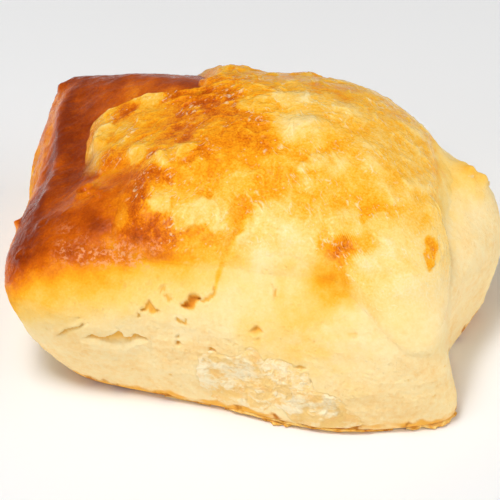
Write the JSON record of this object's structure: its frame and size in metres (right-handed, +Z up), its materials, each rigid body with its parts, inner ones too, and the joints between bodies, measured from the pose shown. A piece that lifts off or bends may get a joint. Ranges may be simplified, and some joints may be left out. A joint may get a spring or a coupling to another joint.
{
  "type": "cheese scone",
  "caption": "Square-cut baked scone with a browned crust and a layer of melted, toasted cheese over its domed top.",
  "frame": {"origin": "middle of the overall outline, at the flat base", "axes": "+X along the long front wall towards the end with the hanging cheese, +Y from the torn front wall to the back wall, +Z up out of the crown"},
  "size_m": [0.0976, 0.0782, 0.046],
  "materials": {
    "baked_dough": "matte pale crumb walls, glossy egg-washed brown crust on the top left end",
    "toasted_cheese": "semi-gloss, wrinkled, golden yellow with toasted orange patches"
  },
  "bodies": {
    "root": {"scone_body": "baked_dough", "melted_cheese": "toasted_cheese"}
  },
  "joints": []
}
